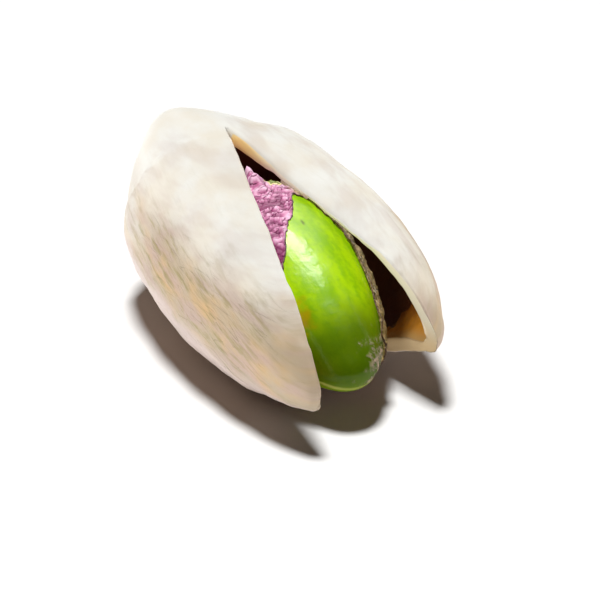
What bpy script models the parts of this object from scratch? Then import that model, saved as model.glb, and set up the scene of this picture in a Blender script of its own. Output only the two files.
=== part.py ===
# A pistachio in its half open shell, lying on a table with its tip towards +X.
# The nut is shaped round its own long axis and then leaned nose down, as it rests.

import math

import bmesh
import bpy
from mathutils import Matrix, Vector

# Driving dimensions of the closed shell, in metres and degrees
LENGTH = 0.0188
UPPER_HEIGHT = 0.00472
LOWER_HEIGHT = 0.00534
WALL = 0.00085
STEM_HEAVINESS = 0.205
UNDERSIDE_EVENING = 0.13
STEM_BLUNTNESS = (3.27, 0.293)
STEM_RISE = -0.00042
TIP_BLUNTNESS = (1.48, 0.388)

# The stem end's blunt scar stands proud of the length, raised above the long axis and set towards -Y
SCAR_PROUD = 0.00188
SCAR_SPREAD = 23.3
SCAR_LEAN = 33.4
SCAR_RAISED = 38.8
SCAR_ASIDE = 25.4

# Each half's own width, tip height and pointed beak: -1 is the half towards -Y
HALF_WIDTH = {-1: 0.00480, 1: 0.00520}
TIP_RISE = {-1: 0.00014, 1: 0.00088}
BEAK_PROUD = {-1: 0.00152, 1: 0.00118}
BEAK_DROOP = {-1: 22.0, 1: 38.0}
BEAK_CURL = {-1: 0.00029, 1: 0.00036}
BEAK_SPREAD = {-1: 23.7, 1: 17.6}
CURL_SPREAD = {-1: 25.0, 1: 52.0}

# How the halves have sprung apart: where they start to bend, where they part, and the bend's length and lean
OPENING = 27.2
BEND_X = -0.00737
SPLIT_X = -0.00625
BEND_LENGTH = 0.00136
SPLIT_LEAN = 13.7
SLIT_START = 0.00004

# How the nut lies: nose down, on a small flat spot under each half
NOSE_DOWN = 7.0
FLAT_DEPTH = 0.00015

# The kernel: its half sizes, then its place and turns in the shell
KERNEL_HALF_LENGTH = 0.00743
KERNEL_HALF_WIDTH = 0.00396
KERNEL_UPPER_HEIGHT = 0.00281
KERNEL_LOWER_HEIGHT = 0.00330
KERNEL_HEAVINESS = 0.242
KERNEL_BLUNTNESS = 0.44
KERNEL_CENTRE = (0.00213, -0.00009, -0.00025)
KERNEL_TURN = -5.6
KERNEL_DIP = 4.2
SEAM_ANGLE = 112.5
SEAM_WIDTH = 8.0
SEAM_DEPTH = 0.04

# The papery coat: its edge as (angle round the kernel from the top, how far along the kernel it reaches),
# with positive angles on the +Y side and reach from -1 at the stem to 1 at the tip
COAT_GAP = 0.00016
COAT_THICKNESS = 0.00020
COAT_EDGE = [(-180, 0.80), (-110, 0.84), (-70, 0.66), (-38, 0.28), (-17, 0.05), (-1, -0.17), (10, -0.36),
             (28, -0.60), (36, -0.52), (45, -0.26), (52, 0.05), (55, 0.45), (62, 0.72), (80, 0.82), (130, 0.84),
             (180, 0.80)]
COAT_RAGGED = 1.8

# Mesh fineness, as sides round the nut and rings along it
SHELL_MESH = (56, 48)
KERNEL_MESH = (32, 26)
COAT_MESH = (52, 28)

ON_SEAM = 1e-5
UNIT_WALL = 0.1


def clear_scene():
    for obj in list(bpy.data.objects):
        bpy.data.objects.remove(obj, do_unlink=True)


def new_collection(name):
    collection = bpy.data.collections.new(name)
    bpy.context.scene.collection.children.link(collection)
    return collection


def new_material(name, colour, roughness):
    material = bpy.data.materials.new(name)
    material.use_nodes = True
    surface = material.node_tree.nodes["Principled BSDF"]
    surface.inputs["Base Color"].default_value = (*colour, 1.0)
    surface.inputs["Roughness"].default_value = roughness
    surface.inputs["Metallic"].default_value = 0.0
    return material


# Shared shaping tools

def long_ball(name, fineness):
    # a unit ball with its poles on the X axis, stem at -X, and two of its meridians in the plane y = 0
    sides, rings = fineness
    bpy.ops.mesh.primitive_uv_sphere_add(segments=sides, ring_count=rings, radius=1.0)
    ball = bpy.context.object
    ball.name = name
    ball.data.name = name
    ball.data.transform(Matrix.Rotation(math.radians(90), 4, "Y"))
    return ball


def give_wall(obj):
    # the open surface keeps the first half of the vertices, and its inner copy takes the second half
    wall = obj.modifiers.new("wall", "SOLIDIFY")
    wall.thickness = UNIT_WALL
    wall.offset = -1.0
    bpy.context.view_layer.objects.active = obj
    bpy.ops.object.modifier_apply(modifier=wall.name)


def shape_wall(obj, outer, inner):
    # places each vertex pair of a walled surface from its one direction on the unit ball
    vertices = obj.data.vertices
    half = len(vertices) // 2
    directions = [vertex.co.normalized() for vertex in vertices[:half]]
    for index, direction in enumerate(directions):
        vertices[index].co = outer(direction)
        vertices[index + half].co = inner(direction)
    obj.data.update()


def turned(point, degrees):
    # positive degrees lean +X down
    return Matrix.Rotation(math.radians(degrees), 3, "Y") @ Vector(point)


def lump(angle, spread):
    return math.exp(-(angle / math.radians(spread)) ** 2)


# Shell

def closed_shell_point(unit, depth):
    along = max(-1.0, min(1.0, unit.x))
    side = -1 if unit.y < 0 else 1
    power, root = STEM_BLUNTNESS if along < 0 else TIP_BLUNTNESS
    angle = math.atan2(abs(unit.y), unit.z)
    underneath = max(0.0, -math.cos(angle)) ** 3 * (1 - along ** 2)
    heaviness = STEM_HEAVINESS - UNDERSIDE_EVENING * underneath
    swell = (1 - abs(along) ** power) ** root * (1 - heaviness * along)
    height = UPPER_HEIGHT if unit.z > 0 else LOWER_HEIGHT
    point = Vector((along * (LENGTH / 2 - depth),
                    (HALF_WIDTH[side] - depth) * swell * math.sin(angle),
                    (height - depth) * swell * math.cos(angle)))
    point.z += TIP_RISE[side] * ((1 + along) / 2) ** 2 + STEM_RISE * ((1 - along) / 2) ** 2
    scar_way = turned((-1, 0, 0), SCAR_LEAN)
    beak_way = turned((1, 0, 0), BEAK_DROOP[side])
    scar_middle = Matrix.Rotation(math.radians(SCAR_ASIDE), 3, "Z") @ turned((-1, 0, 0), SCAR_RAISED)
    point += scar_way * SCAR_PROUD * lump(unit.angle(scar_middle), SCAR_SPREAD)
    point += beak_way * BEAK_PROUD[side] * lump(unit.angle(Vector((1, 0, 0))), BEAK_SPREAD[side])
    return point


def past_split(unit):
    return turned(closed_shell_point(unit, 0), -SPLIT_LEAN).x > SPLIT_X


def sprung_shell_point(unit, depth):
    # a half stays put at the stem end, follows a short bend and runs straight from it; the joined seam stays in plane
    point = closed_shell_point(unit, depth)
    side = -1 if unit.y < 0 else 1
    if unit.y != 0:
        point.y = max(point.y, SLIT_START)
    hinge = turned(point, -SPLIT_LEAN)
    bent = min(max(hinge.x - BEND_X, 0.0), BEND_LENGTH)
    turn = math.radians(OPENING / 2) * bent / BEND_LENGTH
    radius = BEND_LENGTH / math.radians(OPENING / 2)
    straight = hinge.x - BEND_X - bent
    line_x = BEND_X + radius * math.sin(turn) + straight * math.cos(turn)
    line_y = radius * (1 - math.cos(turn)) + max(straight, 0.0) * math.sin(turn)
    swung = Vector((line_x - hinge.y * math.sin(turn), line_y + hinge.y * math.cos(turn), hinge.z))
    swung = turned(swung, SPLIT_LEAN)
    swung.y -= BEAK_CURL[side] * lump(unit.angle(Vector((1, 0, 0))), CURL_SPREAD[side])
    swung.y *= side if unit.y != 0 else 0
    return swung


def split_seam(obj):
    # opens the ball along the plane y = 0 from the split to the tip, above, round the tip and below
    mesh = bmesh.new()
    mesh.from_mesh(obj.data)
    seam = [edge for edge in mesh.edges
            if all(abs(vertex.co.y) < ON_SEAM for vertex in edge.verts)
            and any(past_split(vertex.co.normalized()) for vertex in edge.verts)
            and edge.calc_length() > 0]
    for vertex in mesh.verts:
        if abs(vertex.co.y) < ON_SEAM:
            vertex.co.y = 0.0
    bmesh.ops.split_edges(mesh, edges=seam)
    for vertex in mesh.verts:
        if vertex.co.y == 0.0 and vertex.is_boundary:
            reach = sum(face.calc_center_median().y for face in vertex.link_faces)
            sides = {face.calc_center_median().y > 0 for face in vertex.link_faces}
            if len(sides) == 1:
                vertex.co.y = math.copysign(ON_SEAM, reach)
    mesh.to_mesh(obj.data)
    mesh.free()


def floor_level(points):
    # the height of the resting plane in the leaned nut, just above the lowest point of the higher half
    lowest = [min(turned(point, NOSE_DOWN).z for point in points if point.y * side > 0) for side in (-1, 1)]
    return max(lowest) + FLAT_DEPTH


def flattened(point, floor):
    rest = turned(point, NOSE_DOWN)
    rest.z = max(rest.z, floor)
    return turned(rest, -NOSE_DOWN)


def make_shell():
    shell = long_ball("shell", SHELL_MESH)
    split_seam(shell)
    outer = [sprung_shell_point(vertex.co.normalized(), 0) for vertex in shell.data.vertices]
    floor = floor_level(outer)
    give_wall(shell)
    shape_wall(shell,
               lambda unit: flattened(sprung_shell_point(unit, 0), floor),
               lambda unit: sprung_shell_point(unit, WALL))
    return shell, floor


# Kernel

def kernel_point(unit, proud, seam_depth):
    along = max(-1.0, min(1.0, unit.x))
    angle = math.degrees(math.atan2(abs(unit.y), unit.z))
    seam = seam_depth * math.exp(-((angle - SEAM_ANGLE) / SEAM_WIDTH) ** 2)
    swell = (1 - along ** 2) ** KERNEL_BLUNTNESS * (1 - KERNEL_HEAVINESS * along) * (1 - seam)
    height = KERNEL_UPPER_HEIGHT if unit.z > 0 else KERNEL_LOWER_HEIGHT
    across = math.copysign(math.sin(math.radians(angle)), unit.y)
    point = Vector((along * (KERNEL_HALF_LENGTH + proud),
                    (KERNEL_HALF_WIDTH + proud) * swell * across,
                    (height + proud) * swell * math.cos(math.radians(angle))))
    return Matrix.Rotation(math.radians(KERNEL_TURN), 3, "Z") @ turned(point, KERNEL_DIP) + Vector(KERNEL_CENTRE)


def make_kernel():
    kernel = long_ball("kernel", KERNEL_MESH)
    for vertex in kernel.data.vertices:
        vertex.co = kernel_point(vertex.co.normalized(), 0, SEAM_DEPTH)
    kernel.data.update()
    return kernel


# Papery coat

def coat_reach(angle):
    # how far along the kernel the torn edge lies at this angle round it
    for (low, reach_low), (high, reach_high) in zip(COAT_EDGE, COAT_EDGE[1:]):
        if low <= angle <= high:
            blend = (angle - low) / (high - low)
            return reach_low + (reach_high - reach_low) * blend
    return COAT_EDGE[-1][1]


def coat_direction(unit):
    # stretches the stem half of the ball along the kernel until its rim meets the torn edge
    angle = math.degrees(math.atan2(unit.y, unit.z))
    share = math.acos(max(-1.0, min(1.0, -unit.x))) / (math.pi / 2)
    ragged = COAT_RAGGED * (math.sin(math.radians(angle * 9)) + 0.7 * math.sin(math.radians(angle * 17 + 40)))
    reach = math.radians(math.degrees(math.acos(-coat_reach(angle))) + ragged)
    turn = share * reach
    return Vector((-math.cos(turn),
                   math.sin(turn) * math.sin(math.radians(angle)),
                   math.sin(turn) * math.cos(math.radians(angle))))


def make_coat():
    coat = long_ball("seed_skin", COAT_MESH)
    mesh = bmesh.new()
    mesh.from_mesh(coat.data)
    bmesh.ops.delete(mesh, geom=[vertex for vertex in mesh.verts if vertex.co.x > ON_SEAM], context="VERTS")
    mesh.to_mesh(coat.data)
    mesh.free()
    give_wall(coat)
    shape_wall(coat,
               lambda unit: kernel_point(coat_direction(unit), COAT_GAP + COAT_THICKNESS, 0),
               lambda unit: kernel_point(coat_direction(unit), COAT_GAP, 0))
    return coat


# Assembly

def lay_down(parts, floor):
    # leans the nut nose down and sets its flat spots on the table, over the middle of its footprint
    lie = bpy.data.objects.new("lie", None)
    lean = Matrix.Rotation(math.radians(NOSE_DOWN), 3, "Y")
    points = [lean @ vertex.co for vertex in parts[0].data.vertices]
    middle = [(min(point[axis] for point in points) + max(point[axis] for point in points)) / 2 for axis in (0, 1)]
    lie.rotation_euler = (0, math.radians(NOSE_DOWN), 0)
    lie.location = (-middle[0], -middle[1], -floor)
    for part in parts:
        part.parent = lie
    return lie


def main():
    clear_scene()
    nut = new_collection("pistachio")
    shell, floor = make_shell()
    kernel = make_kernel()
    coat = make_coat()
    looks = {shell: new_material("shell", (0.80, 0.74, 0.62), 0.55),
             kernel: new_material("kernel", (0.33, 0.56, 0.03), 0.35),
             coat: new_material("seed_skin", (0.42, 0.20, 0.27), 0.6)}
    lie = lay_down(list(looks), floor)
    nut.objects.link(lie)
    for part, material in looks.items():
        part.data.materials.clear()
        part.data.materials.append(material)
        part.data.shade_smooth()
        for holder in list(part.users_collection):
            holder.objects.unlink(part)
        nut.objects.link(part)


main()
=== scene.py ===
import math

import bpy
from mathutils import Matrix, Vector, noise


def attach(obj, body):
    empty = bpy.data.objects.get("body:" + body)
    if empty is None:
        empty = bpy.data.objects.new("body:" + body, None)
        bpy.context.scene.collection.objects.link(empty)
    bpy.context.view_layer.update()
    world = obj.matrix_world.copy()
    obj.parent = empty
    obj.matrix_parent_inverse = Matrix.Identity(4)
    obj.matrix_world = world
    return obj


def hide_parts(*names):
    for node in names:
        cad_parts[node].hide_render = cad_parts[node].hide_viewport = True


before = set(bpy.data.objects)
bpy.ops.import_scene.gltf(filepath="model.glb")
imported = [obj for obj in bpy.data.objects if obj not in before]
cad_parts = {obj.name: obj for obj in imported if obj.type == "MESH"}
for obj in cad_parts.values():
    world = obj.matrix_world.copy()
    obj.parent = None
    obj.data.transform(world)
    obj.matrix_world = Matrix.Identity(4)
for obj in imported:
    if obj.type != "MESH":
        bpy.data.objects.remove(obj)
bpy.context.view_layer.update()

mm = 0.001
noise.seed_set(1)  # noise vectors would otherwise start from the clock, and differ at each run
print("frame loaded:", ", ".join(sorted(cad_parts)))

# How the nut lies and how its halves have opened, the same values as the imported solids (mm and degrees)
nut = {"middle": (-0.318, -0.161, 4.9564), "noseDown": 7.0, "splitLean": 13.7, "bendX": -7.37, "splitX": -6.25,
       "bend": 1.36, "opening": 27.2, "halfLength": 9.4}
# how far each tip curls in and over how many degrees, -1 for the half towards -Y
tipCurl = {-1: (0.29, 25), 1: (0.36, 52)}
kernelShape = {"halfLength": 7.43, "halfWidth": 3.96, "above": 2.81, "below": 3.30, "heaviness": 0.242,
               "bluntness": 0.44, "centre": (2.13, -0.09, -0.25), "turn": -5.6, "dip": 4.2}


# small helpers

def pickOnly(obj):
    bpy.ops.object.select_all(action="DESELECT")
    obj.select_set(True)
    bpy.context.view_layer.objects.active = obj


def smoothStep(low, high, value):
    share = max(0.0, min(1.0, (value - low) / (high - low)))
    return share * share * (3 - 2 * share)


def bell(value, width):
    return math.exp(-(value / width) ** 2)


def seen(red, green, blue):
    # a colour as a paint program shows it, 0 to 255
    linear = [(part / 255) / 12.92 if part <= 10 else ((part / 255 + 0.055) / 1.055) ** 2.4 for part in (red, green, blue)]
    return (*linear, 1.0)


def leaned(degrees):
    # positive degrees lean +X down
    return Matrix.Rotation(math.radians(degrees), 3, "Y")


def workingCopy(node, name):
    # the imported solid's own copy, merged and back in quads
    piece = bpy.data.objects.new(name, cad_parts[node].data.copy())
    bpy.context.scene.collection.objects.link(piece)
    piece.data.name = name
    piece.data.materials.clear()
    pickOnly(piece)
    bpy.ops.mesh.customdata_custom_splitnormals_clear()
    bpy.ops.object.mode_set(mode="EDIT")
    bpy.ops.mesh.select_all(action="SELECT")
    bpy.ops.mesh.remove_doubles(threshold=1e-6)
    bpy.ops.mesh.tris_convert_to_quads(face_threshold=math.radians(60), shape_threshold=math.radians(70))
    bpy.ops.mesh.select_all(action="DESELECT")
    bpy.ops.object.mode_set(mode="OBJECT")
    return piece


def makeFiner(piece, levels):
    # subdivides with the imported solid's own points kept where they are
    wanted = [vertex.co.copy() for vertex in piece.data.vertices]
    finer = piece.modifiers.new("finer", "SUBSURF")
    finer.levels = finer.render_levels = levels
    for again in range(2):
        risen = piece.evaluated_get(bpy.context.evaluated_depsgraph_get()).data.vertices
        for index, spot in enumerate(wanted):
            piece.data.vertices[index].co += spot - risen[index].co
        piece.data.update()
    bpy.ops.object.modifier_apply(modifier=finer.name)
    bpy.ops.object.shade_smooth()


def keepVectors(piece, name, values):
    layer = piece.data.attributes.new(name, "FLOAT_VECTOR", "POINT")
    layer.data.foreach_set("vector", [part for value in values for part in value])


def keepNumbers(piece, name, values):
    layer = piece.data.attributes.new(name, "FLOAT", "POINT")
    layer.data.foreach_set("value", values)


# Camera, at the photograph's angle
view = {"place": (0.1857953, -0.117417, 0.1435853), "turn": 57.47, "above": 32.64, "lens": 296.4}
bpy.ops.object.camera_add(location=view["place"], rotation=(math.radians(90 - view["above"]), 0, math.radians(view["turn"])))
camera = bpy.context.object
camera.data.lens = view["lens"]
camera.data.sensor_width = 36
camera.data.clip_start = 0.01
bpy.context.scene.camera = camera
print("camera set")


# Where things are in the nut

def nutPlace(point):
    # where a point of the shell would lie with the halves pressed shut, in the nut's own axes and mm,
    # and how far it is past the start of the split
    own = leaned(-nut["noseDown"]) @ (point / mm - Vector(nut["middle"]))
    side = -1 if own.y < 0 else 1
    turned = leaned(-nut["splitLean"]) @ own
    curl, spread = tipCurl[side]
    fromTip = math.acos(max(-1.0, min(1.0, own.x / nut["halfLength"])))
    across = turned.y * side + curl * bell(fromTip, math.radians(spread))
    half = math.radians(nut["opening"] / 2)
    radius = nut["bend"] / half
    ahead = turned.x - nut["bendX"]
    if ahead > 0:
        swing = math.atan2(ahead, radius - across)
        if swing < half:
            ahead, across = radius * swing, radius - math.hypot(ahead, radius - across)
        else:
            outX, outY = ahead - radius * math.sin(half), across - radius * (1 - math.cos(half))
            ahead = nut["bend"] + outX * math.cos(half) + outY * math.sin(half)
            across = -outX * math.sin(half) + outY * math.cos(half)
    shut = leaned(nut["splitLean"]) @ Vector((ahead + nut["bendX"], across, turned.z))
    shut.y *= side
    return shut, ahead + nut["bendX"] - nut["splitX"]


def kernelPlace(point):
    # the kernel's own axes, in mm
    own = leaned(-nut["noseDown"]) @ (point / mm - Vector(nut["middle"])) - Vector(kernelShape["centre"])
    return leaned(-kernelShape["dip"]) @ (Matrix.Rotation(math.radians(-kernelShape["turn"]), 3, "Z") @ own)


def kernelSurface(along, angle, proud):
    # a point standing proud of the kernel, from how far along it is (-1 to 1) and the angle round from the top
    swell = (1 - along ** 2) ** kernelShape["bluntness"] * (1 - kernelShape["heaviness"] * along)
    height = kernelShape["above"] if math.cos(angle) > 0 else kernelShape["below"]
    own = Vector((along * (kernelShape["halfLength"] + proud),
                  (kernelShape["halfWidth"] + proud) * swell * math.sin(angle),
                  (height + proud) * swell * math.cos(angle)))
    own = Matrix.Rotation(math.radians(kernelShape["turn"]), 3, "Z") @ (leaned(kernelShape["dip"]) @ own)
    own = leaned(nut["noseDown"]) @ (own + Vector(kernelShape["centre"]))
    return (own + Vector(nut["middle"])) * mm


# Shell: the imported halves, with rims worn round, low lumps, a lip along the split and wrinkles down the flanks

shellWork = {"sharp": 50, "crease": 0.35, "levels": 2, "lumps": 0.08, "lumpSize": 2.2, "rimWave": 0.045,
             "rimWaveSize": 0.9, "lip": 0.025, "lipFrom": 1.3, "wrinkles": 0.035, "wrinkleLength": 2.4,
             "wrinkleWidth": 0.5, "rimRoll": 0.62, "rollWidth": 1.7,
             "foldX": -6.5, "foldReach": 1.3, "foldRounds": 60}


def markWall(shell):
    # 0 on the outer surface and 1 on the inner one, carried across the rims as they are made finer
    shares = []
    for vertex in shell.data.vertices:
        place = nutPlace(vertex.co)[0]
        further = nutPlace(vertex.co + vertex.normal * 0.02 * mm)[0]
        if abs(place.x) > 8.3:
            outward = further.length - place.length
        else:
            outward = math.hypot(further.y, further.z) - math.hypot(place.y, place.z)
        shares.append(0.0 if outward > 0 else 1.0)
    beside = [[] for vertex in shell.data.vertices]
    for first, second in (edge.vertices for edge in shell.data.edges):
        beside[first].append(shares[second])
        beside[second].append(shares[first])
    # a lone point that differs from all its neighbours was misread in the fold of the bend
    shares = [near[0] if len(set(near)) == 1 else share for share, near in zip(shares, beside)]
    keepNumbers(shell, "wallSide", shares)


def smoothBend(shell):
    # eases the fold that the bend leaves down each flank
    zone = shell.vertex_groups.new(name="bendZone")
    for vertex in shell.data.vertices:
        place = nutPlace(vertex.co)[0]
        near = bell(place.x - shellWork["foldX"], shellWork["foldReach"]) * smoothStep(2.0, 3.5, abs(place.y))
        if near > 0.02:
            zone.add([vertex.index], near, "REPLACE")
    ease = shell.modifiers.new("ease", "SMOOTH")
    ease.vertex_group = zone.name
    ease.factor = 0.8
    ease.iterations = shellWork["foldRounds"]
    pickOnly(shell)
    bpy.ops.object.modifier_apply(modifier=ease.name)


def makeShell():
    shell = workingCopy("shell", "shellHalves")
    markWall(shell)
    bpy.ops.object.mode_set(mode="EDIT")
    bpy.ops.mesh.edges_select_sharp(sharpness=math.radians(shellWork["sharp"]))
    bpy.ops.transform.edge_crease(value=shellWork["crease"])
    bpy.ops.mesh.select_all(action="DESELECT")
    bpy.ops.object.mode_set(mode="OBJECT")
    makeFiner(shell, shellWork["levels"])
    smoothBend(shell)
    inners = [entry.value for entry in shell.data.attributes["wallSide"].data]
    places, grains, seams, moves = [], [], [], []
    for vertex, inner in zip(shell.data.vertices, inners):
        place, pastSplit = nutPlace(vertex.co)
        grain = Vector((place.x, math.hypot(place.y, 2.5) + 0.3 * place.y - place.z, 0)) * 0.9
        seam = abs(place.y) + 3 * (1 - smoothStep(-0.4, 0.1, pastSplit))
        above = smoothStep(0, 1.5, place.z)
        outer = 1 - smoothStep(0, 0.3, inner)
        lump = shellWork["lumps"] * noise.fractal(place / shellWork["lumpSize"], 1.0, 2.0, 3)
        flank = 1 - smoothStep(-1.5, 1.5, place.z)
        drawn = Vector((grain.x / shellWork["wrinkleLength"], grain.y / shellWork["wrinkleWidth"], 0))
        drawn += 0.5 * noise.noise_vector(place / 1.6)
        wrinkle = -shellWork["wrinkles"] * (1 - abs(noise.noise(drawn)) * 2) ** 3 * flank
        lip = -shellWork["lip"] * bell(seam - shellWork["lipFrom"], 0.4) * above
        lip *= smoothStep(1.0, 3.0, pastSplit)
        wave = shellWork["rimWave"] * noise.noise(place / shellWork["rimWaveSize"]) * (1 - smoothStep(0.1, 0.9, seam))
        reach = 0.6 + shellWork["rollWidth"] * smoothStep(0.0, 4.0, pastSplit)
        roll = shellWork["rimRoll"] * (1 - inner) * max(0.0, 1 - seam / reach) ** 2 * above
        roll *= smoothStep(0.3, 5.0, pastSplit) * (1 - 0.75 * smoothStep(3.5, 6.5, place.x))
        move = vertex.normal * (lump + outer * (wrinkle + lip)) + Vector((0, math.copysign(wave, vertex.co.y) * 0.6, wave - roll))
        moves.append(move * mm)
        places.append(place)
        grains.append(grain)
        seams.append(seam)
    for vertex, move in zip(shell.data.vertices, moves):
        if vertex.co.z > 0.1 * mm:
            vertex.co += move
            vertex.co.z = max(vertex.co.z, 0.0)
    keepVectors(shell, "nutPlace", places)
    keepVectors(shell, "grain", grains)
    keepNumbers(shell, "seam", seams)
    shell.data.update()
    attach(shell, "root")
    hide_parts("shell")
    return shell


# Flakes: slivers of shell left hanging on the upper rim, by side, how far along the nut, and size

flakes = [(1, -1.3, (0.46, 0.20, 0.06)), (1, 0.3, (0.36, 0.15, 0.06)), (-1, -4.1, (0.18, 0.12, 0.06))]


def makeFlakes(shell):
    made = []
    for number, (side, along, size) in enumerate(flakes):
        rim = [vertex.index for vertex in shell.data.vertices
               if abs(shell.data.attributes["seam"].data[vertex.index].value) < 0.2
               and shell.data.attributes["wallSide"].data[vertex.index].value > 0.6
               and shell.data.attributes["nutPlace"].data[vertex.index].vector.y * side > 0
               and shell.data.attributes["nutPlace"].data[vertex.index].vector.z > 1]
        rim.sort(key=lambda index: abs(shell.data.attributes["nutPlace"].data[index].vector.x - along))
        here, there = shell.data.vertices[rim[0]].co, shell.data.vertices[rim[40]].co
        run = (there - here).normalized()
        bpy.ops.object.select_all(action="DESELECT")
        bpy.ops.mesh.primitive_ico_sphere_add(subdivisions=3, radius=1.0)
        flake = bpy.context.object
        flake.name = flake.data.name = "rimFlake" + str(number + 1)
        aside = run.cross(Vector((0, 0, 1))).normalized()
        for vertex in flake.data.vertices:
            unit = vertex.co.normalized()
            boxed = Vector([math.copysign(abs(part) ** 0.45, part) for part in unit]) * (1 + 0.3 * noise.noise(unit * 1.7))
            across, up = boxed.y * size[1] / 2, boxed.z * size[2] / 2
            vertex.co = here + (run * boxed.x * size[0] / 2 + aside * across + Vector((0, 0, 1)) * (up - across * 0.5)) * mm
        bpy.ops.object.shade_smooth()
        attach(flake, "root")
        made.append(flake)
    return made


# Kernel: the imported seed, with shallow dents

kernelWork = {"levels": 3, "lumps": 0.035, "lumpSize": 2.6, "fine": 0.004, "fineSize": 0.6}


def makeKernel():
    kernel = workingCopy("kernel", "greenKernel")
    makeFiner(kernel, kernelWork["levels"])
    places, moves = [], []
    for vertex in kernel.data.vertices:
        place = kernelPlace(vertex.co)
        lump = kernelWork["lumps"] * noise.fractal(place / kernelWork["lumpSize"], 1.0, 2.0, 2)
        lump += kernelWork["fine"] * noise.noise(place / kernelWork["fineSize"])
        places.append(place)
        moves.append(vertex.normal * lump * mm)
    for vertex, move in zip(kernel.data.vertices, moves):
        vertex.co += move
    keepVectors(kernel, "kernelPlace", places)
    kernel.data.update()
    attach(kernel, "root")
    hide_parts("kernel")
    return kernel


# Papery skin: half a ball drawn along the kernel to its torn edge, crinkled, then given its thickness

skinWork = {"sides": 288, "rings": 150, "gap": 0.05, "thickness": 0.08, "ragged": 0.9, "crinkle": 0.17, "curl": 0.16,
            "flap": 0.75, "flapPlace": (-5.8, 0.15, 2.1), "flapReach": (0.75, 0.42, 1.8), "holePlace": (-5.75, 1.15, 2.0),
            "holeReach": 0.34}
# the torn edge: degrees round from the top, towards the far half when positive, and how far along the kernel it reaches
tornEdge = [(-180, 0.60), (-110, 0.64), (-70, 0.60), (-38, 0.28), (-17, 0.05), (-1, -0.17), (10, -0.36), (28, -0.60),
            (36, -0.52), (45, -0.26), (52, 0.05), (55, 0.45), (62, 0.72), (80, 0.80), (130, 0.76), (180, 0.60)]


def tornReach(degrees):
    for (low, reachLow), (high, reachHigh) in zip(tornEdge, tornEdge[1:]):
        if low <= degrees <= high:
            return reachLow + (reachHigh - reachLow) * (degrees - low) / (high - low)
    return tornEdge[-1][1]


def makeSkin():
    bpy.ops.object.select_all(action="DESELECT")
    bpy.ops.mesh.primitive_uv_sphere_add(segments=skinWork["sides"], ring_count=skinWork["rings"], radius=1.0)
    skin = bpy.context.object
    skin.name = skin.data.name = "paperySkin"
    skin.data.transform(Matrix.Rotation(math.radians(90), 4, "Y"))
    bpy.ops.object.mode_set(mode="EDIT")
    bpy.ops.mesh.select_all(action="DESELECT")
    bpy.ops.object.mode_set(mode="OBJECT")
    for vertex in skin.data.vertices:
        vertex.select = vertex.co.x > 1e-4
    bpy.ops.object.mode_set(mode="EDIT")
    bpy.ops.mesh.delete(type="VERT")
    bpy.ops.object.mode_set(mode="OBJECT")
    places, heights, edges = [], [], []
    for vertex in skin.data.vertices:
        unit = vertex.co.normalized()
        angle = math.atan2(unit.y, unit.z)
        share = math.acos(max(-1.0, min(1.0, -unit.x))) / (math.pi / 2)
        around = Vector((math.sin(angle) * 3, math.cos(angle) * 3, 0))
        ragged = skinWork["ragged"] * (noise.fractal(around * 1.5, 0.7, 2.1, 5) * 4)
        reach = math.radians(math.degrees(math.acos(-tornReach(math.degrees(angle)))) + ragged)
        turn = share * reach
        along = -math.cos(turn)
        smooth = kernelPlace(kernelSurface(along, angle, 0))
        warped = smooth + 0.5 * noise.noise_vector(smooth / 0.9)
        folds = 1 - abs(noise.noise(Vector((warped.x / 0.32, warped.y / 1.0, warped.z / 1.0)))) * 2.4
        crinkles = noise.noise(smooth / 0.22)
        height = max(0.0, folds) ** 2 * 0.8 + 0.16 * crinkles
        fromEdge = (1 - share) * reach * kernelShape["halfLength"]
        curl = skinWork["curl"] * bell(fromEdge, 0.22) * (0.6 + noise.noise(smooth / 0.8))
        toFlap = [(part - middle) / reach
                  for part, middle, reach in zip(smooth, skinWork["flapPlace"], skinWork["flapReach"])]
        flap = skinWork["flap"] * bell(Vector(toFlap).length, 1.0) * (1 + 0.9 * noise.noise(smooth / 0.3))
        toHole = (smooth - Vector(skinWork["holePlace"])).length
        open = 1 - bell(toHole, skinWork["holeReach"])
        proud = skinWork["gap"] + (max(0.0, skinWork["crinkle"] * height) + flap) * open + max(0.0, curl)
        proud += 0.12 * bell(toHole - skinWork["holeReach"], 0.12)
        vertex.co = kernelSurface(along, angle, proud)
        places.append(smooth)
        heights.append(max(0.0, min(1.0, height + 0.5 * flap)))
        edges.append(fromEdge)
    keepVectors(skin, "kernelPlace", places)
    keepNumbers(skin, "foldHeight", heights)
    keepNumbers(skin, "fromEdge", edges)
    skin.data.update()
    pickOnly(skin)
    bpy.ops.object.mode_set(mode="EDIT")
    bpy.ops.mesh.select_all(action="SELECT")
    bpy.ops.mesh.normals_make_consistent(inside=False)
    bpy.ops.object.mode_set(mode="OBJECT")
    paper = skin.modifiers.new("paper", "SOLIDIFY")
    paper.thickness = skinWork["thickness"] * mm
    paper.offset = 1.0
    bpy.ops.object.modifier_apply(modifier=paper.name)
    bpy.ops.object.shade_smooth()
    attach(skin, "root")
    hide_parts("seed_skin")
    return skin


# Shader helpers

def put(tree, kind, sockets={}, **settings):
    made = tree.nodes.new("ShaderNode" + kind)
    for name, value in settings.items():
        setattr(made, name, value)
    for name, value in sockets.items():
        if isinstance(value, bpy.types.NodeSocket):
            tree.links.new(value, made.inputs[name])
        else:
            made.inputs[name].default_value = value
    return made


def mixed(tree, amount, first, second, mode="MIX"):
    return put(tree, "Mix", {"Factor": amount, "A": first, "B": second}, data_type="RGBA", blend_type=mode).outputs["Result"]


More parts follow.
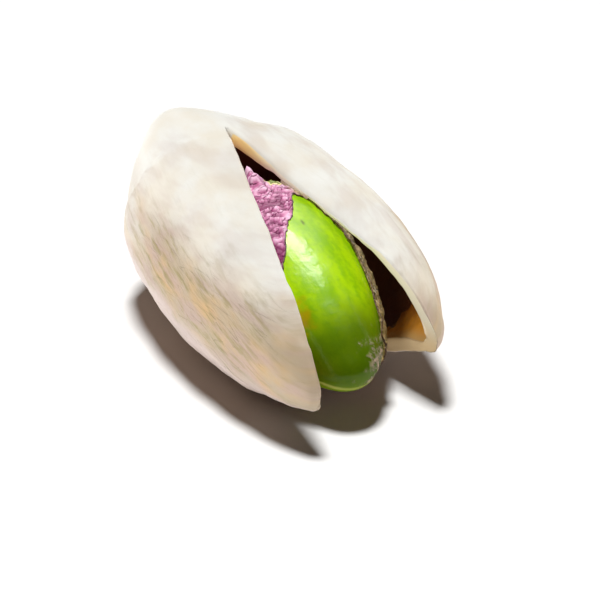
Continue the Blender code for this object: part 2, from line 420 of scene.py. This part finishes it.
def maths(tree, job, first, second=0.0, third=0.0):
    made = tree.nodes.new("ShaderNodeMath")
    made.operation = job
    for socket, value in zip(made.inputs, (first, second, third)):
        if isinstance(value, bpy.types.NodeSocket):
            tree.links.new(value, socket)
        else:
            socket.default_value = value
    return made.outputs[0]


def ranged(tree, value, low, high, toLow=0.0, toHigh=1.0):
    return put(tree, "MapRange", {"Value": value, "From Min": low, "From Max": high, "To Min": toLow, "To Max": toHigh},
               interpolation_type="SMOOTHSTEP").outputs["Result"]


def kept(tree, name, output="Vector"):
    return put(tree, "Attribute", attribute_name=name).outputs[output]


def stretched(tree, vector, scale, shift=(0, 0, 0)):
    return put(tree, "Mapping", {"Vector": vector, "Scale": scale, "Location": shift}).outputs["Vector"]


def drawnOut(tree, vector, lengths, degrees=0, shift=0):
    # features this long along each axis, turned in the grain's own plane
    return put(tree, "Mapping", {"Vector": vector, "Scale": lengths, "Rotation": (0, 0, math.radians(degrees)),
                                 "Location": (shift, shift, 0)}, vector_type="TEXTURE").outputs["Vector"]


def newGroup(name, inputs, outputs):
    group = bpy.data.node_groups.new(name, "ShaderNodeTree")
    for title, kind, value in inputs:
        group.interface.new_socket(title, in_out="INPUT", socket_type="NodeSocket" + kind).default_value = value
    for title, kind in outputs:
        group.interface.new_socket(title, in_out="OUTPUT", socket_type="NodeSocket" + kind)
    return group, group.nodes.new("NodeGroupInput").outputs, group.nodes.new("NodeGroupOutput").inputs


def grouped(tree, group, sockets):
    made = tree.nodes.new("ShaderNodeGroup")
    made.node_tree = group
    for name, value in sockets.items():
        if isinstance(value, bpy.types.NodeSocket):
            tree.links.new(value, made.inputs[name])
        else:
            made.inputs[name].default_value = value
    return made.outputs


def makeSpotGroup():
    # a soft, ragged patch round one place
    group, given, out = newGroup("softSpot",
                                 [("Place", "Vector", (0, 0, 0)), ("Middle", "Vector", (0, 0, 0)),
                                  ("Reach", "Vector", (1, 1, 1)), ("Ragged", "Float", 0.3), ("Ragged Scale", "Float", 2.0),
                                  ("Core", "Float", 0.4)],
                                 [("Mask", "Float")])
    wobble = put(group, "TexNoise", {"Vector": given["Place"], "Scale": given["Ragged Scale"], "Detail": 4.0})
    away = put(group, "VectorMath", {0: given["Place"], 1: given["Middle"]}, operation="SUBTRACT").outputs[0]
    away = put(group, "VectorMath", {0: away, 1: given["Reach"]}, operation="DIVIDE").outputs[0]
    length = put(group, "VectorMath", {0: away}, operation="LENGTH").outputs["Value"]
    shift = maths(group, "MULTIPLY", maths(group, "SUBTRACT", wobble.outputs["Fac"], 0.5), given["Ragged"])
    length = maths(group, "ADD", length, maths(group, "MULTIPLY", shift, 4.0))
    mask = put(group, "MapRange", {"Value": length, "From Min": given["Core"], "From Max": 1.0, "To Min": 1.0, "To Max": 0.0},
               interpolation_type="SMOOTHSTEP").outputs["Result"]
    group.links.new(mask, out["Mask"])
    return group


def makeCreaseGroup():
    # thin broken creases with softer stains round them, given as lines, stains and height
    group, given, out = newGroup("thinCreases",
                                 [("Place", "Vector", (0, 0, 0)), ("Scale", "Float", 1.0), ("Width", "Float", 0.05),
                                  ("Broken", "Float", 0.5)],
                                 [("Lines", "Float"), ("Stains", "Float"), ("Height", "Float")])
    flow = put(group, "TexNoise", {"Vector": given["Place"], "Scale": given["Scale"], "Detail": 1.0,
                                   "Roughness": 0.35}).outputs["Fac"]
    away = maths(group, "ABSOLUTE", maths(group, "SUBTRACT", flow, 0.5))
    lines = put(group, "MapRange", {"Value": away, "From Min": 0.0, "From Max": given["Width"], "To Min": 1.0, "To Max": 0.0},
                interpolation_type="SMOOTHSTEP").outputs["Result"]
    softer = maths(group, "MULTIPLY", given["Width"], 5.0)
    stains = put(group, "MapRange", {"Value": away, "From Min": 0.0, "From Max": softer, "To Min": 1.0, "To Max": 0.0},
                 interpolation_type="SMOOTHSTEP").outputs["Result"]
    gaps = put(group, "TexNoise", {"Vector": given["Place"], "Scale": maths(group, "MULTIPLY", given["Scale"], 1.3),
                                   "Detail": 2.0}).outputs["Fac"]
    gaps = put(group, "MapRange", {"Value": gaps, "From Min": given["Broken"],
                                   "From Max": maths(group, "ADD", given["Broken"], 0.12)},
               interpolation_type="SMOOTHSTEP").outputs["Result"]
    lines = maths(group, "MULTIPLY", lines, gaps)
    group.links.new(lines, out["Lines"])
    group.links.new(maths(group, "MULTIPLY", stains, gaps), out["Stains"])
    group.links.new(maths(group, "MULTIPLY_ADD", lines, -1.0, maths(group, "MULTIPLY", away, 1.5)), out["Height"])
    return group


def newMaterial(name, roughness):
    material = bpy.data.materials.new(name)
    material.use_nodes = True
    tree = material.node_tree
    surface = tree.nodes["Principled BSDF"]
    surface.inputs["Roughness"].default_value = roughness
    return material, tree, surface


def finishBump(tree, surface, height, distance, strength=1.0):
    bump = put(tree, "Bump", {"Height": height, "Distance": distance * mm, "Strength": strength})
    tree.links.new(bump.outputs["Normal"], surface.inputs["Normal"])


shellLook = {"ivory": seen(226, 226, 221), "cream": seen(222, 217, 205), "tanFlankShade": seen(172, 152, 124), "rose": seen(182, 158, 148),
             "amber": seen(208, 168, 112), "olive": seen(150, 138, 92), "crease": seen(132, 122, 86), "speck": seen(150, 128, 84),
             "rim": seen(230, 220, 198), "gold": seen(244, 218, 156), "mouth": seen(222, 194, 150), "edge": seen(210, 195, 190),
             "inside": seen(236, 164, 56), "insideDeep": seen(150, 84, 16), "darkLiningShade": seen(84, 42, 20),
             "insidePale": seen(226, 184, 116)}


def shellFlanks(tree, place, grain, parts, creases):
    # tan and rosy flanks with an amber blush, streaked along the nut; the tan lower on the flank is partly painted
    # shade, and the pale pink band at the bottom is painted light bounced up from the floor
    broad = put(tree, "TexNoise", {"Vector": place, "Scale": 0.4, "Detail": 4.0}).outputs["Fac"]
    flank = ranged(tree, maths(tree, "MULTIPLY_ADD", broad, 2.4, parts["Z"]), 4.8, 2.5)
    flank = maths(tree, "MULTIPLY", flank, ranged(tree, parts["X"], -5.5, -0.5, 0.35, 1.0))
    marked = maths(tree, "MULTIPLY", flank, ranged(tree, parts["X"], 9.0, 6.0, 0.25, 1.0))
    colour = mixed(tree, ranged(tree, broad, 0.35, 0.65), shellLook["ivory"], shellLook["cream"])
    # tan lower down the flank: partly the shell's own tan, partly painted shade
    colour = mixed(tree, maths(tree, "MULTIPLY", flank, 0.9), colour, shellLook["tanFlankShade"])
    ends = ranged(tree, parts["X"], -8.4, -6.0)
    blush = put(tree, "TexNoise", {"Vector": drawnOut(tree, grain, (3.0, 1.6, 1), 10, 3), "Scale": 1.0, "Detail": 3.0})
    amber = maths(tree, "MULTIPLY", ranged(tree, blush.outputs["Fac"], 0.42, 0.78), maths(tree, "MULTIPLY", flank, 0.75))
    colour = mixed(tree, amber, colour, shellLook["amber"])
    rosy = put(tree, "TexNoise", {"Vector": drawnOut(tree, grain, (2.4, 1.1, 1), -15, 9), "Scale": 1.0, "Detail": 3.0})
    rosy = maths(tree, "MULTIPLY", ranged(tree, rosy.outputs["Fac"], 0.42, 0.64), maths(tree, "MULTIPLY_ADD", flank, 0.5, 0.22))
    colour = mixed(tree, maths(tree, "MULTIPLY", rosy, ends), colour, shellLook["rose"])
    streak = put(tree, "TexNoise", {"Vector": drawnOut(tree, grain, (1.9, 0.4, 1), 6), "Scale": 1.0, "Detail": 5.0,
                                    "Roughness": 0.6}).outputs["Fac"]
    streaked = maths(tree, "MULTIPLY", ranged(tree, streak, 0.48, 0.66), maths(tree, "MULTIPLY_ADD", marked, 0.75, 0.06))
    colour = mixed(tree, maths(tree, "MULTIPLY", streaked, ends), colour, shellLook["olive"])
    # pale pink band along the bottom: painted light bounced up from the floor
    colour = mixed(tree, ranged(tree, maths(tree, "MULTIPLY_ADD", broad, 2.0, parts["Z"]), 0.2, -1.4, 0.0, 0.8), colour, shellLook["edge"])
    lines, relief = [], []
    for degrees, lengths, strength in ((8, (3.6, 0.5, 1), 1.0), (-15, (2.8, 0.42, 1), 0.8), (28, (1.7, 0.5, 1), 0.5)):
        drawn = grouped(tree, creases, {"Place": drawnOut(tree, grain, lengths, degrees, degrees), "Scale": 1.0, "Width": 0.009,
                                        "Broken": 0.5})
        lines.append(maths(tree, "MULTIPLY", drawn["Lines"], strength))
        relief.append(drawn["Height"])
    lined = maths(tree, "MAXIMUM", maths(tree, "MAXIMUM", lines[0], lines[1]), lines[2])
    lined = maths(tree, "MULTIPLY", lined, maths(tree, "MULTIPLY", marked, 0.36))
    lined = maths(tree, "MULTIPLY", lined, ranged(tree, parts["X"], -2.0, 3.0))
    colour = mixed(tree, lined, colour, shellLook["crease"])
    relief = maths(tree, "MULTIPLY_ADD", streak, 1.5, maths(tree, "MULTIPLY", maths(tree, "ADD", relief[0], relief[1]), 0.25))
    return colour, maths(tree, "MULTIPLY", maths(tree, "MULTIPLY", relief, ends), maths(tree, "MULTIPLY_ADD", marked, 0.9, 0.08))


def shellInside(tree, place, parts, seam):
    # golden at the mouth and darker further in from the rim, partly painted shade in the cavity, with a ragged edge to
    # the dark lining, which is partly membrane and partly painted shade
    mottle = put(tree, "TexNoise", {"Vector": place, "Scale": 1.4, "Detail": 5.0}).outputs["Fac"]
    # darker further in from the rim: partly the wall's own brown, partly painted shade
    inside = mixed(tree, ranged(tree, maths(tree, "MULTIPLY_ADD", mottle, 1.5, seam), 1.2, 2.8), shellLook["inside"],
                   shellLook["insideDeep"])
    inside = mixed(tree, ranged(tree, seam, 0.9, 0.1), inside, shellLook["insidePale"])
    # the dark lining: partly the membrane's own brown, partly painted shade deep in the cavity
    liningShadeMask = maths(tree, "ADD", maths(tree, "MULTIPLY_ADD", parts["Y"], -0.5, parts["X"]), maths(tree, "MULTIPLY", mottle, 2.2))
    return mixed(tree, ranged(tree, liningShadeMask, 6.6, 6.3), inside, shellLook["darkLiningShade"])


def shellMaterial(creases):
    material, tree, surface = newMaterial("ivoryShell", 0.5)
    place = kept(tree, "nutPlace")
    grain = kept(tree, "grain")
    wall = kept(tree, "wallSide", "Fac")
    seam = kept(tree, "seam", "Fac")
    parts = put(tree, "SeparateXYZ", {0: place}).outputs
    fine = put(tree, "TexNoise", {"Vector": place, "Scale": 5.0, "Detail": 4.0}).outputs["Fac"]
    colour, relief = shellFlanks(tree, place, grain, parts, creases)
    dots = put(tree, "TexVoronoi", {"Vector": place, "Scale": 0.5, "Randomness": 1.0})
    chosen = maths(tree, "GREATER_THAN", put(tree, "SeparateColor", {0: dots.outputs["Color"]}).outputs[0], 0.6)
    speck = maths(tree, "MULTIPLY", ranged(tree, dots.outputs["Distance"], 0.05, 0.025), chosen)
    colour = mixed(tree, maths(tree, "MULTIPLY", speck, 0.5), colour, shellLook["speck"])
    gold = maths(tree, "MULTIPLY", ranged(tree, parts["X"], -1.5, -4.2), ranged(tree, parts["Z"], 0, 1))
    rimColour = mixed(tree, ranged(tree, parts["Z"], 1.5, -0.5), shellLook["rim"], shellLook["mouth"])
    rimColour = mixed(tree, gold, rimColour, shellLook["gold"])
    colour = mixed(tree, ranged(tree, wall, 0.8, 0.98), colour, shellInside(tree, place, parts, seam))
    colour = mixed(tree, maths(tree, "MULTIPLY", ranged(tree, seam, 0.16, 0.06), ranged(tree, wall, 0.02, 0.1)), colour, rimColour)
    tree.links.new(colour, surface.inputs["Base Color"])
    tree.links.new(ranged(tree, fine, 0.3, 0.7, 0.42, 0.6), surface.inputs["Roughness"])
    relief = maths(tree, "MULTIPLY", relief, ranged(tree, wall, 0.5, 0.0))
    finishBump(tree, surface, maths(tree, "MULTIPLY_ADD", fine, 0.08, relief), 0.1)
    return material


kernelLook = {"lime": seen(166, 206, 8), "green": seen(132, 180, 2), "oliveTipShade": seen(66, 90, 2), "orange": seen(160, 112, 6),
              "scuff": seen(200, 172, 152), "scuffDark": seen(84, 84, 34), "yellow": seen(118, 146, 14), "seam": seen(176, 184, 90),
              "nick": seen(88, 92, 20)}
kernelMarks = {"orange": ((3.5, -1.7, 1.9), (1.5, 0.75, 1.0)), "scuff": ((6.8, 1.6, -0.1), (2.3, 2.0, 1.8)),
               "nick": ((-2.0, 1.05, 2.78), (0.28, 0.12, 0.3))}


def kernelMaterial(spot):
    material, tree, surface = newMaterial("waxyKernel", 0.2)
    place = kept(tree, "kernelPlace")
    parts = put(tree, "SeparateXYZ", {0: place}).outputs
    broad = put(tree, "TexNoise", {"Vector": place, "Scale": 0.45, "Detail": 4.0}).outputs["Fac"]
    fine = put(tree, "TexNoise", {"Vector": place, "Scale": 3.2, "Detail": 5.0}).outputs["Fac"]
    strokes = put(tree, "TexNoise", {"Vector": stretched(tree, place, (0.35, 1.2, 1.2)), "Scale": 0.9, "Detail": 3.0}).outputs["Fac"]
    streaky = maths(tree, "MULTIPLY_ADD", fine, 0.3, maths(tree, "MULTIPLY", strokes, 0.7))
    colour = mixed(tree, ranged(tree, streaky, 0.38, 0.62), kernelLook["lime"], kernelLook["green"])
    # darker olive towards the tip and underside: partly the kernel's own olive, partly painted shade
    tipward = maths(tree, "ADD", parts["X"], maths(tree, "MULTIPLY_ADD", parts["Z"], -0.9, maths(tree, "MULTIPLY", broad, 2.0)))
    colour = mixed(tree, ranged(tree, tipward, 0.5, 5.8, 0.0, 0.9), colour, kernelLook["oliveTipShade"])
    marks = {}
    for name, (middle, reach) in kernelMarks.items():
        marks[name] = grouped(tree, spot, {"Place": place, "Middle": middle, "Reach": reach, "Ragged": 0.5, "Ragged Scale": 1.6,
                                           "Core": 0.1})["Mask"]
    colour = mixed(tree, maths(tree, "MULTIPLY", marks["orange"], 0.6), colour, kernelLook["orange"])
    colour = mixed(tree, maths(tree, "MULTIPLY", marks["nick"], 0.8), colour, kernelLook["nick"])
    scaly = put(tree, "TexNoise", {"Vector": place, "Scale": 2.6, "Detail": 7.0, "Roughness": 0.6}).outputs["Fac"]
    flakes = maths(tree, "MULTIPLY", marks["scuff"], ranged(tree, scaly, 0.44, 0.6))
    colour = mixed(tree, maths(tree, "MULTIPLY", marks["scuff"], 0.4), colour, kernelLook["scuffDark"])
    colour = mixed(tree, flakes, colour, kernelLook["scuff"])
    colour = mixed(tree, ranged(tree, parts["Z"], 0.1, -0.9, 0.0, 0.7), colour, kernelLook["yellow"])
    line = maths(tree, "MULTIPLY", ranged(tree, parts["Z"], -0.75, -0.55), ranged(tree, parts["Z"], -0.3, -0.5))
    colour = mixed(tree, maths(tree, "MULTIPLY", line, 0.8), colour, kernelLook["seam"])
    tree.links.new(colour, surface.inputs["Base Color"])
    tree.links.new(maths(tree, "MULTIPLY_ADD", flakes, 0.5, ranged(tree, fine, 0.3, 0.7, 0.17, 0.25)), surface.inputs["Roughness"])
    # the seed's underside is dry and doesn't shine
    tree.links.new(ranged(tree, parts["Z"], -0.6, 1.4, 0.04, 0.36), surface.inputs["Specular IOR Level"])
    surface.inputs["Subsurface Weight"].default_value = 0.1
    surface.inputs["Subsurface Radius"].default_value = (0.6, 1.0, 0.15)
    surface.inputs["Subsurface Scale"].default_value = 0.6 * mm
    relief = maths(tree, "MULTIPLY_ADD", flakes, 1.0, maths(tree, "MULTIPLY_ADD", strokes, 0.4, maths(tree, "MULTIPLY", fine, 0.2)))
    finishBump(tree, surface, relief, 0.07)
    return material


skinLook = {"mauve": seen(186, 108, 152), "plumFoldShade": seen(124, 42, 90), "lilac": seen(224, 184, 212), "beige": seen(172, 148, 100),
            "brown": seen(112, 96, 44), "edge": seen(70, 40, 34), "hole": seen(104, 116, 22), "holeLip": seen(226, 206, 150)}


def skinMaterial(spot, creases):
    material, tree, surface = newMaterial("papery", 0.55)
    place = kept(tree, "kernelPlace")
    folds = kept(tree, "foldHeight", "Fac")
    edge = kept(tree, "fromEdge", "Fac")
    parts = put(tree, "SeparateXYZ", {0: place}).outputs
    fine = put(tree, "TexNoise", {"Vector": place, "Scale": 5.0, "Detail": 5.0}).outputs["Fac"]
    # plum in the fold hollows and along the creases, lilac on the fold tops: partly the skin's own colours, partly
    # painted shade and painted highlight
    mauve = mixed(tree, ranged(tree, folds, 0.02, 0.5), skinLook["plumFoldShade"], skinLook["mauve"])
    mauve = mixed(tree, ranged(tree, folds, 0.38, 0.85, 0.0, 0.8), mauve, skinLook["lilac"])
    lines = grouped(tree, creases, {"Place": stretched(tree, place, (2.0, 0.9, 0.9)), "Scale": 1.7, "Width": 0.03,
                                    "Broken": 0.36})
    mauve = mixed(tree, maths(tree, "MULTIPLY", lines["Lines"], 0.75), mauve, skinLook["plumFoldShade"])
    beige = mixed(tree, ranged(tree, fine, 0.4, 0.62), skinLook["beige"], skinLook["brown"])
    colour = mixed(tree, ranged(tree, parts["Y"], 1.4, 2.2), mauve, beige)
    # dark along the torn edge: partly the paper's own edge, partly painted shadow under the curled edge
    colour = mixed(tree, ranged(tree, edge, 0.12, 0.02, 0.0, 0.8), colour, skinLook["edge"])
    for name, reach in (("holeLip", 0.55), ("hole", 0.42)):
        patch = grouped(tree, spot, {"Place": place, "Middle": skinWork["holePlace"], "Reach": (reach, reach, reach),
                                     "Ragged": 0.1, "Ragged Scale": 2.0, "Core": 0.8})["Mask"]
        colour = mixed(tree, patch, colour, skinLook[name])
    tree.links.new(colour, surface.inputs["Base Color"])
    finishBump(tree, surface, maths(tree, "MULTIPLY_ADD", fine, 0.5, lines["Height"]), 0.06)
    return material


# Floor and light

# the floor's own colour shows in the shadow, and its key light brings the rest of it back to white
studio = {"floorColour": (0.50, 0.425, 0.36), "fill": 0.03, "fillColour": (1.0, 0.85, 0.75), "away": 0.5}
lamps = {"floorKey": {"turn": -56, "above": 85.9, "size": 0.11, "power": 7.2, "colour": (0.727, 0.855, 1.0)},
         "frontLight": {"turn": -30, "above": 12, "size": 0.25, "power": 1.85, "colour": (1.0, 0.98, 0.97)},
         "stemLight": {"turn": -120, "above": 50, "size": 0.25, "power": 1.3, "colour": (1.0, 0.99, 0.98)},
         "backLight": {"turn": 165, "above": 35, "size": 0.25, "power": 1.8, "colour": (1.0, 0.99, 0.97)},
         "tipLight": {"turn": 78, "above": 15, "size": 0.25, "power": 1.2, "colour": (1.0, 0.99, 0.96)},
         "topLight": {"turn": -30, "above": 48, "size": 0.25, "power": 0.9, "colour": (1.0, 0.99, 0.98)},
         "floorFill": {"turn": 130, "above": 28, "size": 0.2, "power": 0.3, "colour": (0.9, 0.93, 1.0)},
         "seedTop": {"turn": -100, "above": 60, "size": 0.2, "power": 3.5, "colour": (1.0, 1.0, 0.95)},
         "seedTip": {"turn": 100, "above": 50, "size": 0.2, "power": 1.0, "colour": (1.0, 1.0, 0.95)}}
gloss = {"glowBright": {"turn": -139, "above": 58, "wide": 0.15, "high": 0.19, "power": 1.7},
         "glowSoft": {"turn": -139, "above": 34, "wide": 0.12, "high": 0.22, "power": 1.5}}


def aimAt(turn, above, away, target=(0, 0, 0.005)):
    turn, above = math.radians(turn), math.radians(above)
    back = Vector((math.sin(turn) * math.cos(above), -math.cos(turn) * math.cos(above), math.sin(above)))
    return Vector(target) + back * away, back.to_track_quat("Z", "Y").to_euler()


def lightOnly(lamp, receivers):
    lit = bpy.data.collections.new(lamp.name + "Lit")
    for piece in receivers:
        lit.objects.link(piece)
    lamp.light_linking.receiver_collection = lit


def makeStudio(shellPieces, seedPieces):
    bpy.ops.object.select_all(action="DESELECT")
    bpy.ops.mesh.primitive_plane_add(size=3.0)
    floor = bpy.context.object
    floor.name = "floor"
    material, tree, surface = newMaterial("whiteFloor", 0.9)
    surface.inputs["Base Color"].default_value = (*studio["floorColour"], 1)
    surface.inputs["Specular IOR Level"].default_value = 0.1
    floor.data.materials.append(material)
    # one light is for the floor alone, for its deep shadow, two reach the seed past the shell, the rest light the shell
    for name, light in lamps.items():
        place, turn = aimAt(light["turn"], light["above"], studio["away"])
        bpy.ops.object.light_add(type="AREA", location=place, rotation=turn)
        lamp = bpy.context.object
        lamp.name = name
        lamp.data.shape = "DISK"
        lamp.data.size = light["size"]
        lamp.data.energy = light["power"]
        lamp.data.color = light["colour"]
        lamp.data.use_shadow = not name.startswith("seed")
        lamp.visible_glossy = False
        lightOnly(lamp, [floor] if name.startswith("floor") else seedPieces if name.startswith("seed") else shellPieces)
    for name, glow in gloss.items():
        place, turn = aimAt(glow["turn"], glow["above"], studio["away"])
        bpy.ops.object.light_add(type="AREA", location=place, rotation=turn)
        panel = bpy.context.object
        panel.name = name
        panel.data.shape = "RECTANGLE"
        panel.data.size = glow["wide"]
        panel.data.size_y = glow["high"]
        panel.data.energy = glow["power"]
        panel.visible_diffuse = False
        panel.data.use_shadow = False
        lightOnly(panel, seedPieces)
    world = bpy.data.worlds.new("paleRoom")
    bpy.context.scene.world = world
    world.use_nodes = True
    world.node_tree.nodes["Background"].inputs["Color"].default_value = (*studio["fillColour"], 1)
    world.node_tree.nodes["Background"].inputs["Strength"].default_value = studio["fill"]
    bpy.context.scene.view_settings.view_transform = "Standard"


shell = makeShell()
print("shell made:", len(shell.data.polygons), "faces")
rimFlakes = makeFlakes(shell)
print("flakes made:", len(rimFlakes))
kernel = makeKernel()
print("kernel made:", len(kernel.data.polygons), "faces")
skin = makeSkin()
print("skin made:", len(skin.data.polygons), "faces")
spotGroup, creaseGroup = makeSpotGroup(), makeCreaseGroup()
shellLooks = shellMaterial(creaseGroup)
for piece in (shell, *rimFlakes):
    piece.data.materials.append(shellLooks)
kernel.data.materials.append(kernelMaterial(spotGroup))
skin.data.materials.append(skinMaterial(spotGroup, creaseGroup))
print("materials made")
makeStudio([shell, *rimFlakes], [kernel, skin])
print("studio made")
